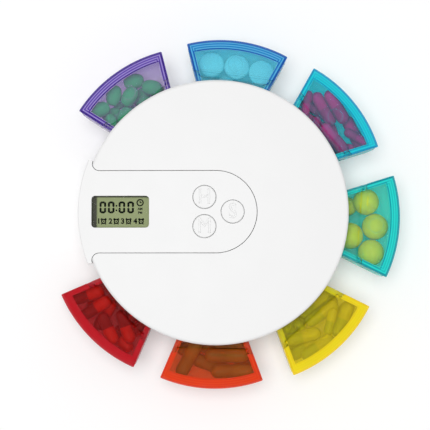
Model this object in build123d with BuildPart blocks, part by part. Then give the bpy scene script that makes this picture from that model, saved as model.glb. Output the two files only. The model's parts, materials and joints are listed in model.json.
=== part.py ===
from build123d import *
import os
from math import atan2, cos, degrees, radians, sin, sqrt, tan

os.makedirs("parts", exist_ok=True)

# A round weekly pill organiser: seven pull-out drawers with flip lids round a
# hub, and a reminder timer that slides into the eighth bay.
# Frame: millimetres, Z up, origin on the axis at the resting plane. The timer
# lies towards -X.

# ---- heights, from the resting plane up ----
foot_stand = 1.0            # rubber ring below the tray
tray_floor = 2.0            # thickness of the tray's floor
slide_clearance = 0.3       # drawer over the floor
drawer_height = 18.1
lid_thickness = 1.6
cover_clearance = 0.4       # cover over the lids
cover_depth = 6.6           # cover's seat to its crown
dome_rise = 1.5             # crown over the cover's edge

floor_top = foot_stand + tray_floor
drawer_bottom = floor_top + slide_clearance
drawer_top = drawer_bottom + drawer_height
lid_top = drawer_top + lid_thickness
cover_seat = lid_top + cover_clearance
dome_top = cover_seat + cover_depth

# ---- radii and bays ----
cover_radius = 62.0
rim_stand = 2.3             # timer stands out from the cover
lid_stand = 4.3             # closed lids stand out from the cover
lid_lip = 0.8               # finger lip of a lid past its drawer
hub_radius = 35.4
hub_wall = 1.5
hub_clearance = 0.6         # hub to the rear of a drawer
tray_inset = 11.5           # drawers' outer radius to the tray's edge
partition_wall = 0.8
partition_inset = 0.5       # partitions end this far inside the cover's edge
bay_clearance = 0.2         # partition to a drawer's side
drawer_count = 7
bay_angle = 43.5            # a drawer's bay
middle_direction = -4.5     # middle of the drawers' bays, in degrees from +X
saucer_radius = 11.5        # the drawers' undersides curve up to the rim

half_bay = radians(bay_angle / 2)
rim_radius = cover_radius + rim_stand
lid_radius = cover_radius + lid_stand
drawer_radius = lid_radius - lid_lip
battery_radius = rim_radius - lid_lip
tray_radius = drawer_radius - tray_inset
drawer_rear = hub_radius + hub_clearance
side_gap = partition_wall / 2 + bay_clearance

# ---- drawers, clockwise from the timer, and how far each can still be pulled ----
drawer_pull_left = {
    "purple": 7.6,
    "blue": 7.0,
    "cyan": 5.4,
    "teal": 2.4,
    "yellow": 3.6,
    "orange": 6.6,
    "red": 6.0,
}
drawer_wall = 1.5
drawer_corner = 0.8
drawer_bottom_round = 3.0
catch_height = 1.3          # catch behind the cover's skirt
catch_depth = 1.3
catch_half_width = 3.0
stop_clearance = 0.3

# ---- lids and their hinges ----
hinge_offset = 12.2         # drawer's rear to the hinge axis
barrel_gap = 0.3
peg_radius = 0.4
peg_clearance = 0.05
peg_length = 1.1
ear_half_length = 1.2
ear_gap = 0.4               # ears to the lid's frame, which swings past them
lid_side_gap = 0.3
lid_seat_gap = 0.1          # closed lid over the drawer's walls
lid_corner = 0.5
lid_front_lip = 1.35        # lower lip along the lid's front edge
lid_front_step = 0.5
lid_frame = 2.6             # raised border of the lid
lid_front_frame = 4.6       # the same along the front edge
lid_frame_step = 0.35
lid_skirt_wall = 1.0
lid_skirt_depth = 1.4
gate_mark_radius = 3.5
gate_mark_depth = 0.25
gate_mark_inset = 10.0      # from the lid's outer edge

# ---- cover ----
cover_wall = 1.8
cover_edge = 1.3
boss_inset = 6.0            # hub's outside to the screw circle
boss_angles = (60, 120, 240, 300)
boss_radius = 3.4
screw_radius = 1.25
screw_head_radius = 2.6
screw_head_height = 1.8
screw_head_gap = 0.3
screw_grip = 8.0            # post left above a cover screw's head
screw_bite = 3.6            # screw's reach into the cover
boss_circle_radius = hub_radius - boss_inset

first_partition = middle_direction - drawer_count * bay_angle / 2
last_drawer = first_partition + bay_angle / 2

# A drawer is out as far as it goes when its catch meets the cover's skirt.
catch_front = drawer_rear + catch_depth
drawer_travel = cover_radius - cover_wall - stop_clearance - catch_front

# ---- timer ----
tongue_half_width = 19.05
tongue_clearance = 0.3      # tongue over the cover's seat
slide_gap = 0.3             # tongue to the cover's mouth
mouth_corner = 3.2          # round corners of the cover's mouth
flare_half_angle = 22.2
housing_wall = 1.5
tongue_floor = 1.0
tongue_edge = 0.5
parting_height = 1.7        # tongue's underside to the parting line
guide_wall = 1.6
rail_depth = 0.9
rail_height = 1.0
rail_lift = 0.35
rail_clearance = 0.15
rail_inset = 6.4            # rails' ends to the axis and to the cover's edge

tongue_bottom = cover_seat + tongue_clearance
parting = tongue_bottom + parting_height
tongue_floor_top = tongue_bottom + tongue_floor

display_inset = 6.35        # display's outer end to the rim
display_length = 26.9
display_width = 14.9
display_corner = 1.7
display_frame_wall = 2.0
window_lap = 0.9
window_thickness = 0.8
lcd_lap = 1.2
lcd_thickness = 1.3
lcd_gap = 0.1
display_centre = display_inset + display_length / 2 - rim_radius
lcd_length = display_length + 2 * lcd_lap
connector_length = 0.85     # LCD's inner end to the board

button_radius = 5.3
button_gap = 0.3
button_stand = 0.6
button_travel = 0.5
button_flange = 1.0
button_flange_thickness = 0.5
button_flange_gap = 0.12    # flange to the housing's underside
button_stem_radius = 1.6
button_stem_gap = 0.12      # pressed stem to the switch's plunger
button_edge = 0.4
button_places = {
    "hour_button": (-5.3, 6.8),
    "minute_button": (-5.3, -6.8),
    "set_button": (7.8, 0.0),
}

board_thickness = 1.0
board_gap = 0.25
board_margin = 0.6
board_left = display_centre + lcd_length / 2 + connector_length
switch_side = 4.5
switch_height = 0.6
switch_plunger_radius = 1.1
switch_plunger_height = 0.25
buzzer_inset = 3.0          # board's outer end to the buzzer
buzzer_radius = 6.0
buzzer_height = 1.7
buzzer_centre = board_left + buzzer_inset + buzzer_radius
timer_screw_places = [(4.0, 14.3), (4.0, -14.3), (-26.0, 14.8), (-26.0, -14.8)]
timer_boss_radius = 2.2
timer_screw_radius = 0.8
timer_screw_head = 1.7
timer_screw_head_height = 0.7
timer_screw_length = 3.6

cell_radius = 5.8
cell_height = 5.4
cell_edge = 0.5
cell_spacing = 12.3
cell_lift = 0.12            # cells over their door
contact_room = 0.6          # bay's rear wall to the cells
cell_centre = -(drawer_rear + housing_wall + contact_room + cell_radius)
door_length = 13.2
door_width = 26.0
door_thickness = 1.0
door_gap = 0.15
door_ledge = 0.7
contact_thickness = 0.15
contact_width = 4.0
contact_lift = 1.0          # contacts' lower end over the cells' underside
contact_lap = 2.0           # contacts' reach under the board

# ---- rubber ring under the tray ----
ring_inset = 6.0            # tray's edge to the ring
ring_width = 5.0
ring_recess = 0.8
ring_gap = 0.05
ring_chamfer = 0.3
tray_chamfer = 0.7
ring_outer = tray_radius - ring_inset
ring_inner = ring_outer - ring_width


def dome_height(radius, drop=0.0):
    """Height of the cover's dome at a radius, lowered by drop."""
    sphere = (cover_radius**2 + dome_rise**2) / (2 * dome_rise)
    return dome_top - drop - sphere + sqrt(sphere**2 - radius**2)


def domed_disc(radius, drop, bottom, edge):
    """A disc under the cover's dome, with a rounded upper edge."""
    with BuildPart() as disc:
        with BuildSketch(Plane.XZ) as section:
            with BuildLine():
                middle = (radius / 2, dome_height(radius / 2, drop))
                top = ThreePointArc((0, dome_height(0, drop)), middle, (radius, dome_height(radius, drop)))
                Polyline(top @ 1, (radius, bottom), (0, bottom), top @ 0)
            make_face()
            if edge > 0:
                fillet(section.vertices().group_by(Axis.X)[-1].sort_by(Axis.Y)[-1], edge)
        revolve(axis=Axis.Z)
    return disc.part


def saucer(radius, bottom, top, corner):
    """A round block whose lower edge is one large round."""
    with BuildPart() as block:
        with BuildSketch(Plane.XZ) as section:
            with BuildLine():
                Polyline((0, bottom), (radius, bottom), (radius, top), (0, top), close=True)
            make_face()
            fillet(section.vertices().group_by(Axis.X)[-1].sort_by(Axis.Y)[0], corner)
        revolve(axis=Axis.Z)
    return block.part


def bay_half_width(distance, gap):
    """Half width of a bay at a distance from the axis, gap inside its walls' middle."""
    return distance * tan(half_bay) - gap / cos(half_bay)


def wedge(rear, radius, gap, corner):
    """Plan of what fills one bay, along +X: flat rear, slanted sides, round front."""
    reach = sqrt(radius**2 - gap**2)
    front = (
        reach * cos(half_bay) + gap * sin(half_bay),
        reach * sin(half_bay) - gap * cos(half_bay),
    )
    with BuildSketch() as plan:
        with BuildLine():
            Line((rear, 0), (rear, bay_half_width(rear, gap)))
            Line((rear, bay_half_width(rear, gap)), front)
            arc_middle = (radius * cos(half_bay / 2), radius * sin(half_bay / 2))
            ThreePointArc(front, arc_middle, (radius, 0))
            mirror(about=Plane.XZ)
        make_face()
        if corner > 0:
            front_corners = plan.vertices().sort_by(lambda vertex: abs(vertex.Y))[-2:]
            fillet(front_corners, corner)
    return plan.sketch


def timer_outline(grow):
    """Plan of the timer: a round-ended tongue that flares at the cover's edge."""
    half = tongue_half_width + grow
    corner = mouth_corner + slide_gap - grow
    corner_y = tongue_half_width + slide_gap + mouth_corner
    corner_x = -sqrt((cover_radius - mouth_corner) ** 2 - corner_y**2)
    corner_angle = degrees(atan2(corner_y, corner_x))
    rim = rim_radius + grow
    flare = radians(180 - flare_half_angle)
    with BuildSketch() as plan:
        with BuildLine():
            ThreePointArc((half, 0), (half * cos(radians(45)), half * sin(radians(45))), (0, half))
            Line((0, half), (corner_x, half))
            bend = CenterArc((corner_x, corner_y), corner, 270, corner_angle - 270)
            rim_corner = (rim * cos(flare), rim * sin(flare))
            Line(bend @ 1, rim_corner)
            halfway = radians(180 - flare_half_angle / 2)
            ThreePointArc(rim_corner, (rim * cos(halfway), rim * sin(halfway)), (-rim, 0))
            mirror(about=Plane.XZ)
        make_face()
    return plan.sketch


def tongue_plan(half, rim):
    """Plan of the tongue alone, without its flare."""
    with BuildSketch() as plan:
        Circle(rim)
        with Locations((-rim / 2, 0)):
            Rectangle(rim, 2 * half, mode=Mode.INTERSECT)
        Circle(half)
    return plan.sketch


def rectangle_reach(centre, length, width):
    """Distance from the axis to the far corner of a rectangle centred on the X axis."""
    return sqrt((abs(centre) + length / 2) ** 2 + (width / 2) ** 2)


def polar_points(radius, angles):
    return [(radius * cos(radians(a)), radius * sin(radians(a))) for a in angles]


def save(part, name):
    part.label = name
    export_step(part, f"parts/{name}.step")


boss_points = polar_points(boss_circle_radius, boss_angles)

# ---- base tray: floor, hub ring, partitions and screw posts ----
with BuildPart() as base_tray:
    with BuildSketch(Plane.XY.offset(foot_stand)):
        Circle(tray_radius)
    extrude(amount=tray_floor)
    chamfer(base_tray.edges().group_by(Axis.Z)[0], tray_chamfer)
    with BuildSketch(Plane.XY.offset(floor_top)):
        Circle(hub_radius)
        Circle(hub_radius - hub_wall, mode=Mode.SUBTRACT)
    extrude(amount=cover_seat - floor_top)
    partition_end = cover_radius - partition_inset
    partition_start = hub_radius - hub_wall / 2
    with BuildSketch(Plane.XZ) as partition_side:
        with BuildLine():
            Polyline(
                (partition_start, floor_top - tray_floor / 2),
                (partition_end, floor_top - tray_floor / 2),
                (partition_end, cover_seat),
                (partition_start, cover_seat),
                close=True,
            )
        make_face()
        lower_corner = partition_side.vertices().group_by(Axis.X)[-1].sort_by(Axis.Y)[0]
        fillet(lower_corner, saucer_radius)
    partition = extrude(amount=partition_wall / 2, both=True, mode=Mode.PRIVATE)
    bays_span = drawer_count * bay_angle
    with PolarLocations(0, drawer_count + 1, first_partition, bays_span, endpoint=True):
        add(partition)
    with BuildSketch(Plane.XY.offset(floor_top)):
        with Locations(*boss_points):
            Circle(boss_radius)
    extrude(amount=cover_seat - floor_top)
    with BuildSketch(Plane.XY.offset(foot_stand)):
        Circle(ring_outer)
        Circle(ring_inner, mode=Mode.SUBTRACT)
    extrude(amount=ring_recess, mode=Mode.SUBTRACT)
    head_seat = cover_seat - screw_grip
    with BuildSketch(Plane.XY.offset(foot_stand)):
        with Locations(*boss_points):
            Circle(screw_head_radius + screw_head_gap)
    extrude(amount=head_seat - foot_stand, mode=Mode.SUBTRACT)
    with BuildSketch(Plane.XY.offset(head_seat)):
        with Locations(*boss_points):
            Circle(screw_radius)
    extrude(amount=screw_grip, mode=Mode.SUBTRACT)
save(base_tray.part, "base_tray")

# ---- top cover: domed shell with the timer's mouth, slide grooves and bosses ----
cover_body = domed_disc(cover_radius, 0, cover_seat, cover_edge)
cover_hollow = domed_disc(cover_radius - cover_wall, cover_wall, cover_seat, 0)

with BuildPart() as cover_ribs:
    with BuildSketch(Plane.XY.offset(cover_seat)):
        add(timer_outline(slide_gap + guide_wall))
        with Locations(*boss_points):
            Circle(boss_radius)
    extrude(amount=cover_depth)
    add(cover_body, mode=Mode.INTERSECT)

groove_height = rail_height + 2 * rail_clearance
rail_level = tongue_bottom + rail_lift + rail_height / 2
with BuildPart() as top_cover:
    add(cover_body)
    add(cover_hollow, mode=Mode.SUBTRACT)
    add(cover_ribs.part)
    with BuildSketch(Plane.XY.offset(cover_seat)):
        add(timer_outline(slide_gap))
    extrude(amount=cover_depth, mode=Mode.SUBTRACT)
    with BuildSketch(Plane.YZ):
        with Locations((0, rail_level)):
            Rectangle(2 * (tongue_half_width + rail_depth + slide_gap), groove_height)
    extrude(amount=-cover_radius, mode=Mode.SUBTRACT)
    with BuildSketch(Plane.XY.offset(cover_seat)):
        with Locations(*boss_points):
            Circle(screw_radius)
    extrude(amount=screw_bite, mode=Mode.SUBTRACT)
save(top_cover.part, "top_cover")

# ---- cover screws and the rubber ring ----
with BuildPart() as cover_screws:
    with BuildSketch(Plane.XY.offset(head_seat - screw_head_height)):
        with Locations(*boss_points):
            Circle(screw_head_radius)
    extrude(amount=screw_head_height)
    with BuildSketch(Plane.XY.offset(head_seat)):
        with Locations(*boss_points):
            Circle(screw_radius)
    extrude(amount=screw_grip + screw_bite)
save(cover_screws.part, "cover_screws")

with BuildPart() as rubber_ring:
    with BuildSketch():
        Circle(ring_outer - ring_gap)
        Circle(ring_inner + ring_gap, mode=Mode.SUBTRACT)
    extrude(amount=foot_stand + ring_recess)
    chamfer(rubber_ring.edges().group_by(Axis.Z)[0], ring_chamfer)
save(rubber_ring.part, "rubber_ring")

# ---- drawer, closed and along +X ----
panel_thickness = lid_thickness - lid_frame_step
barrel_radius = panel_thickness / 2
hinge_reach = drawer_rear + hinge_offset
hinge_level = drawer_top + barrel_radius
deck_front = hinge_reach - barrel_radius - barrel_gap
inner_gap = side_gap + drawer_wall
ear_outer = bay_half_width(hinge_reach - ear_half_length, side_gap)
ear_inner = ear_outer - drawer_wall
saucer_body = saucer(drawer_radius, drawer_bottom, lid_top, saucer_radius)
saucer_hollow = saucer(
    drawer_radius - drawer_wall,
    drawer_bottom + drawer_wall,
    lid_top,
    saucer_radius - drawer_wall,
)

with BuildPart() as drawer_hollow:
    with BuildSketch(Plane.XY.offset(drawer_bottom + drawer_wall)):
        add(wedge(drawer_rear + drawer_wall, drawer_radius - drawer_wall, inner_gap, 0))
    extrude(amount=drawer_height - drawer_wall)
    hollow_sides = drawer_hollow.edges().group_by(Axis.Z)[0].filter_by(GeomType.LINE)
    fillet(hollow_sides, drawer_bottom_round - drawer_wall)
    add(saucer_hollow, mode=Mode.INTERSECT)

with BuildPart() as drawer:
    with BuildSketch(Plane.XY.offset(drawer_bottom)):
        add(wedge(drawer_rear, drawer_radius, side_gap, drawer_corner))
    extrude(amount=drawer_height)
    fillet(drawer.edges().group_by(Axis.Z)[0].filter_by(GeomType.LINE), drawer_bottom_round)
    add(saucer_body, mode=Mode.INTERSECT)
    add(drawer_hollow.part, mode=Mode.SUBTRACT)
    # rear deck
    with BuildSketch(Plane.XY.offset(drawer_top)):
        add(wedge(drawer_rear, drawer_radius, side_gap, 0))
        with Locations((deck_front / 2, 0)):
            Rectangle(deck_front, 2 * drawer_radius, mode=Mode.INTERSECT)
    extrude(amount=lid_thickness)
    with BuildSketch(Plane.XY.offset(lid_top)):
        add(wedge(catch_front, drawer_radius, side_gap + lid_frame, 0))
    extrude(amount=-lid_frame_step, mode=Mode.SUBTRACT)
    # catch behind the cover's skirt
    with BuildSketch(Plane.XY.offset(lid_top)):
        with Locations((catch_front - catch_depth / 2, 0)):
            Rectangle(catch_depth, 2 * catch_half_width)
    extrude(amount=catch_height)
    # hinge ears
    with BuildSketch(Plane.XY.offset(drawer_top)):
        with Locations((hinge_reach, ear_outer - drawer_wall / 2), (hinge_reach, drawer_wall / 2 - ear_outer)):
            Rectangle(2 * ear_half_length, drawer_wall)
    extrude(amount=lid_thickness)
    with BuildSketch(Plane.XZ):
        with Locations((hinge_reach, hinge_level)):
            Circle(peg_radius + peg_clearance)
    extrude(amount=ear_outer, both=True, mode=Mode.SUBTRACT)

# ---- lid, closed and along +X ----
lid_bottom = drawer_top + lid_seat_gap
skirt_gap = side_gap + drawer_wall + lid_side_gap
with BuildPart() as lid:
    with BuildSketch(Plane.XY.offset(lid_bottom)):
        notch_front = hinge_reach + ear_half_length + ear_gap
        add(wedge(notch_front, lid_radius, side_gap, lid_corner))
    extrude(amount=lid_top - lid_bottom)
    with BuildSketch(Plane.XY.offset(lid_bottom)):
        with Locations(((hinge_reach + notch_front) / 2, 0)):
            Rectangle(notch_front - hinge_reach, 2 * (ear_inner - barrel_gap))
    extrude(amount=panel_thickness - lid_seat_gap)
    # lower lip along the front edge
    with BuildSketch(Plane.XY.offset(lid_top)):
        Circle(lid_radius + lid_front_lip)
        Circle(lid_radius - lid_front_lip, mode=Mode.SUBTRACT)
    extrude(amount=-lid_front_step, mode=Mode.SUBTRACT)
    # recessed panel inside the raised frame
    with BuildSketch(Plane.XY.offset(lid_top)):
        panel_gap = side_gap + lid_frame
        add(wedge(notch_front, lid_radius - lid_front_frame, panel_gap, lid_corner))
    extrude(amount=-lid_frame_step, mode=Mode.SUBTRACT)
    # skirt that locates the lid in the drawer's mouth
    with BuildSketch(Plane.XY.offset(lid_bottom)):
        skirt_rear = notch_front + barrel_gap
        skirt_front = drawer_radius - drawer_wall - lid_side_gap
        add(wedge(skirt_rear, skirt_front, skirt_gap, 0))
        add(
            wedge(
                skirt_rear + lid_skirt_wall,
                skirt_front - lid_skirt_wall,
                skirt_gap + lid_skirt_wall,
                0,
            ),
            mode=Mode.SUBTRACT,
        )
    extrude(amount=-lid_skirt_depth)
    # gate mark
    with BuildSketch(Plane.XY.offset(lid_top - lid_frame_step)):
        with Locations((lid_radius - gate_mark_inset, 0)):
            Circle(gate_mark_radius)
    extrude(amount=-gate_mark_depth, mode=Mode.SUBTRACT)
    # barrel and pegs
    with BuildSketch(Plane.XZ):
        with Locations((hinge_reach, hinge_level)):
            Circle(barrel_radius)
    extrude(amount=ear_inner - barrel_gap, both=True)
    with BuildSketch(Plane.XZ):
        with Locations((hinge_reach, hinge_level)):
            Circle(peg_radius)
    extrude(amount=ear_inner - barrel_gap + peg_length, both=True)

for order, (colour, pull_left) in enumerate(reversed(drawer_pull_left.items())):
    direction = last_drawer + order * bay_angle
    pulled = drawer_travel - pull_left
    place = Location(
        (pulled * cos(radians(direction)), pulled * sin(radians(direction)), 0),
        (0, 0, direction),
    )
    with BuildPart() as placed_drawer:
        with Locations(place):
            add(drawer.part)
    save(placed_drawer.part, f"{colour}_drawer")
    with BuildPart() as placed_lid:
        with Locations(place):
            add(lid.part)
    save(placed_lid.part, f"{colour}_lid")

# ---- timer's top housing ----
window_length = display_length + 2 * window_lap
window_width = display_width + 2 * window_lap
window_reach = rectangle_reach(display_centre, window_length, window_width)
window_seat = dome_height(window_reach, housing_wall)
timer_dome = domed_disc(rim_radius, 0, drawer_bottom, tongue_edge)
timer_hollow = domed_disc(rim_radius - housing_wall, housing_wall, parting, 0)
half_inside = tongue_half_width - housing_wall

with BuildPart() as timer_ribs:
    with BuildSketch(Plane.XY.offset(parting)):
        with Locations(*timer_screw_places):
            Circle(timer_boss_radius)
    extrude(amount=dome_top - parting)
    with BuildSketch(Plane.XY.offset(window_seat)):
        with Locations((display_centre, 0)):
            Rectangle(display_length + 2 * display_frame_wall, display_width + 2 * display_frame_wall)
    extrude(amount=dome_top - window_seat)

with BuildPart() as top_hollow:
    with BuildSketch(Plane.XY.offset(parting)):
        add(tongue_plan(half_inside, rim_radius - housing_wall))
    extrude(amount=dome_top - parting)
    add(timer_hollow, mode=Mode.INTERSECT)
    add(timer_ribs.part, mode=Mode.SUBTRACT)

with BuildPart() as timer_top_housing:
    with BuildSketch(Plane.XY.offset(parting)):
        add(timer_outline(0))
    extrude(amount=dome_top - parting)
    add(timer_dome, mode=Mode.INTERSECT)
    add(top_hollow.part, mode=Mode.SUBTRACT)
    with BuildSketch(Plane.XY.offset(parting)):
        with Locations((display_centre, 0)):
            RectangleRounded(display_length, display_width, display_corner)
        with Locations(*button_places.values()):
            Circle(button_radius + button_gap)
    extrude(amount=dome_top - parting, mode=Mode.SUBTRACT)
    with BuildSketch(Plane.XY.offset(parting)):
        with Locations(*timer_screw_places):
            Circle(timer_screw_radius)
    extrude(amount=timer_screw_length - (parting - tongue_bottom - timer_screw_head_height), mode=Mode.SUBTRACT)
save(timer_top_housing.part, "timer_top_housing")

# ---- battery housing: the timer's deep part, in the eighth bay ----
battery_saucer = saucer(
    battery_radius - housing_wall,
    drawer_bottom + housing_wall,
    lid_top,
    saucer_radius - housing_wall,
)
with BuildPart() as bay_body:
    with BuildSketch(Plane.XY.offset(drawer_bottom)):
        add(wedge(drawer_rear, battery_radius, side_gap, drawer_corner))
    extrude(amount=lid_top - drawer_bottom)
    fillet(bay_body.edges().group_by(Axis.Z)[0].filter_by(GeomType.LINE), drawer_bottom_round)
    add(saucer(battery_radius, drawer_bottom, lid_top, saucer_radius), mode=Mode.INTERSECT)

with BuildPart() as bay_hollow:
    with BuildSketch(Plane.XY.offset(drawer_bottom + housing_wall)):
        add(wedge(drawer_rear + housing_wall, battery_radius - housing_wall, side_gap + housing_wall, 0))
    extrude(amount=lid_top - drawer_bottom - 2 * housing_wall)
    hollow_sides = bay_hollow.edges().group_by(Axis.Z)[0].filter_by(GeomType.LINE)
    fillet(hollow_sides, drawer_bottom_round - housing_wall)
    add(battery_saucer, mode=Mode.INTERSECT)

bay_turn = Location((0, 0, 0), (0, 0, 180))
with BuildSketch() as mouth_plan:
    with Locations(bay_turn):
        add(wedge(drawer_rear + housing_wall, battery_radius - housing_wall, side_gap + housing_wall, 0))
    add(tongue_plan(half_inside, battery_radius - housing_wall), mode=Mode.INTERSECT)
bay_mouth = mouth_plan.sketch

with BuildPart() as battery_housing:
    with Locations(bay_turn):
        add(bay_body.part)
    # neck that joins the bay to the tongue
    with BuildSketch(Plane.XY.offset(lid_top)):
        with Locations(bay_turn):
            add(wedge(drawer_rear, battery_radius, side_gap, drawer_corner))
        add(timer_outline(0), mode=Mode.INTERSECT)
    extrude(amount=tongue_bottom - lid_top)
    # hollows
    with Locations(bay_turn):
        add(bay_hollow.part, mode=Mode.SUBTRACT)
    with BuildSketch(Plane.XY.offset(drawer_top)):
        add(bay_mouth)
    extrude(amount=tongue_bottom - drawer_top, mode=Mode.SUBTRACT)
    # battery opening with a ledge for its door
    with BuildSketch(Plane.XY.offset(drawer_bottom)):
        with Locations((cell_centre, 0)):
            Rectangle(door_length + 2 * door_gap, door_width + 2 * door_gap)
    extrude(amount=door_thickness, mode=Mode.SUBTRACT)
    with BuildSketch(Plane.XY.offset(drawer_bottom)):
        with Locations((cell_centre, 0)):
            Rectangle(door_length - 2 * door_ledge, door_width - 2 * door_ledge)
    extrude(amount=drawer_bottom_round, mode=Mode.SUBTRACT)
save(battery_housing.part, "battery_housing")

# ---- timer's bottom housing: tongue tray and rails ----
with BuildPart() as timer_bottom_housing:
    with BuildSketch(Plane.XY.offset(tongue_bottom)):
        add(timer_outline(0))
    extrude(amount=parting_height)
    # rails
    with BuildSketch(Plane.XY.offset(rail_level - rail_height / 2)):
        with Locations((-cover_radius / 2, 0)):
            Rectangle(cover_radius - 2 * rail_inset, 2 * (tongue_half_width + rail_depth))
    extrude(amount=rail_height)
    # hollows
    with BuildSketch(Plane.XY.offset(tongue_bottom)):
        add(bay_mouth)
    extrude(amount=parting_height, mode=Mode.SUBTRACT)
    with BuildSketch(Plane.XY.offset(tongue_floor_top)):
        add(tongue_plan(half_inside, rim_radius - housing_wall))
    extrude(amount=parting - tongue_floor_top, mode=Mode.SUBTRACT)
    with BuildSketch(Plane.XY.offset(tongue_floor_top)):
        with Locations(*timer_screw_places):
            Circle(timer_boss_radius)
    extrude(amount=parting - tongue_floor_top)
    # screw holes
    with BuildSketch(Plane.XY.offset(tongue_bottom)):
        with Locations(*timer_screw_places):
            Circle(timer_screw_head)
    extrude(amount=timer_screw_head_height, mode=Mode.SUBTRACT)
    with BuildSketch(Plane.XY.offset(tongue_bottom)):
        with Locations(*timer_screw_places):
            Circle(timer_screw_radius)
    extrude(amount=parting_height, mode=Mode.SUBTRACT)
save(timer_bottom_housing.part, "timer_bottom_housing")

# ---- display ----
with BuildPart() as display_window:
    with BuildSketch(Plane.XY.offset(window_seat - window_thickness)):
        with Locations((display_centre, 0)):
            Rectangle(window_length, window_width)
    extrude(amount=window_thickness)
save(display_window.part, "display_window")

lcd_top = window_seat - window_thickness - lcd_gap
with BuildPart() as lcd_panel:
    with BuildSketch(Plane.XY.offset(lcd_top - lcd_thickness)):
        with Locations((display_centre, 0)):
            Rectangle(lcd_length, display_width + 2 * lcd_lap)
    extrude(amount=lcd_thickness)
save(lcd_panel.part, "lcd_panel")

# ---- circuit board, switches and buzzer ----
board_bottom = tongue_floor_top + board_gap
board_top = board_bottom + board_thickness
with BuildPart() as circuit_board:
    with BuildSketch(Plane.XY.offset(board_bottom)):
        Circle(half_inside - board_margin)
        with Locations((board_left / 2, 0)):
            Rectangle(-board_left, 2 * (half_inside - board_margin))
        with Locations(*timer_screw_places):
            Circle(timer_boss_radius + board_margin, mode=Mode.SUBTRACT)
    extrude(amount=board_thickness)
save(circuit_board.part, "circuit_board")

with BuildPart() as tact_switches:
    with BuildSketch(Plane.XY.offset(board_top)):
        with Locations(*button_places.values()):
            Rectangle(switch_side, switch_side)
    extrude(amount=switch_height)
    with BuildSketch(Plane.XY.offset(board_top + switch_height)):
        with Locations(*button_places.values()):
            Circle(switch_plunger_radius)
    extrude(amount=switch_plunger_height)
save(tact_switches.part, "tact_switches")

with BuildPart() as buzzer:
    with BuildSketch(Plane.XY.offset(board_top)):
        with Locations((buzzer_centre, 0)):
            Circle(buzzer_radius)
    extrude(amount=buzzer_height)
save(buzzer.part, "buzzer")

with BuildPart() as lcd_connector:
    with BuildSketch(Plane.XY.offset(board_bottom)):
        with Locations((board_left - connector_length / 2, 0)):
            Rectangle(connector_length, display_width)
    extrude(amount=board_thickness)
save(lcd_connector.part, "lcd_connector")

# ---- timer screws ----
with BuildPart() as timer_screws:
    with BuildSketch(Plane.XY.offset(tongue_bottom)):
        with Locations(*timer_screw_places):
            Circle(timer_screw_head)
    extrude(amount=timer_screw_head_height)
    with BuildSketch(Plane.XY.offset(tongue_bottom + timer_screw_head_height)):
        with Locations(*timer_screw_places):
            Circle(timer_screw_radius)
    extrude(amount=timer_screw_length)
save(timer_screws.part, "timer_screws")

# ---- cells, contacts and battery door ----
cell_bottom = drawer_bottom + door_thickness + cell_lift
with BuildPart() as button_cells:
    with BuildSketch(Plane.XY.offset(cell_bottom)):
        with Locations((cell_centre, cell_spacing / 2), (cell_centre, -cell_spacing / 2)):
            Circle(cell_radius)
    extrude(amount=cell_height)
    chamfer(button_cells.edges().group_by(Axis.Z)[0], cell_edge)
save(button_cells.part, "button_cells")

with BuildPart() as battery_contacts:
    with BuildSketch(Plane.XZ) as contact_side:
        with BuildLine():
            blade_x = cell_centre + cell_radius + contact_thickness
            strip_z = tongue_floor_top + contact_thickness / 2
            Polyline(
                (blade_x, cell_bottom + contact_lift),
                (blade_x, strip_z),
                (board_left + contact_lap, strip_z),
            )
            offset(amount=contact_thickness / 2, side=Side.BOTH, kind=Kind.INTERSECTION)
        make_face()
    blade = extrude(amount=contact_width / 2, both=True, mode=Mode.PRIVATE)
    with Locations((0, cell_spacing / 2, 0), (0, -cell_spacing / 2, 0)):
        add(blade)
save(battery_contacts.part, "battery_contacts")

with BuildPart() as battery_door:
    with BuildSketch(Plane.XY.offset(drawer_bottom)):
        with Locations((cell_centre, 0)):
            Rectangle(door_length, door_width)
    extrude(amount=door_thickness)
save(battery_door.part, "battery_door")

# ---- buttons ----
for name, (button_x, button_y) in button_places.items():
    crown = dome_height(sqrt(button_x**2 + button_y**2))
    flange_top = crown - housing_wall - button_flange_gap
    plunger_top = board_top + switch_height + switch_plunger_height
    stem_bottom = plunger_top + button_travel + button_stem_gap
    with BuildPart() as button:
        with BuildSketch(Plane.XY.offset(flange_top)):
            with Locations((button_x, button_y)):
                Circle(button_radius)
        extrude(amount=crown + button_stand - flange_top)
        fillet(button.edges().group_by(Axis.Z)[-1], button_edge)
        with BuildSketch(Plane.XY.offset(flange_top)):
            with Locations((button_x, button_y)):
                Circle(button_radius + button_flange)
        extrude(amount=-button_flange_thickness)
        with BuildSketch(Plane.XY.offset(stem_bottom)):
            with Locations((button_x, button_y)):
                Circle(button_stem_radius)
        extrude(amount=flange_top - stem_bottom)
    save(button.part, name)
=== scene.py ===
import json
import random
from math import atan2, cos, hypot, pi, radians, sin

import bmesh
import bpy
from mathutils import Matrix, Vector


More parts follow.
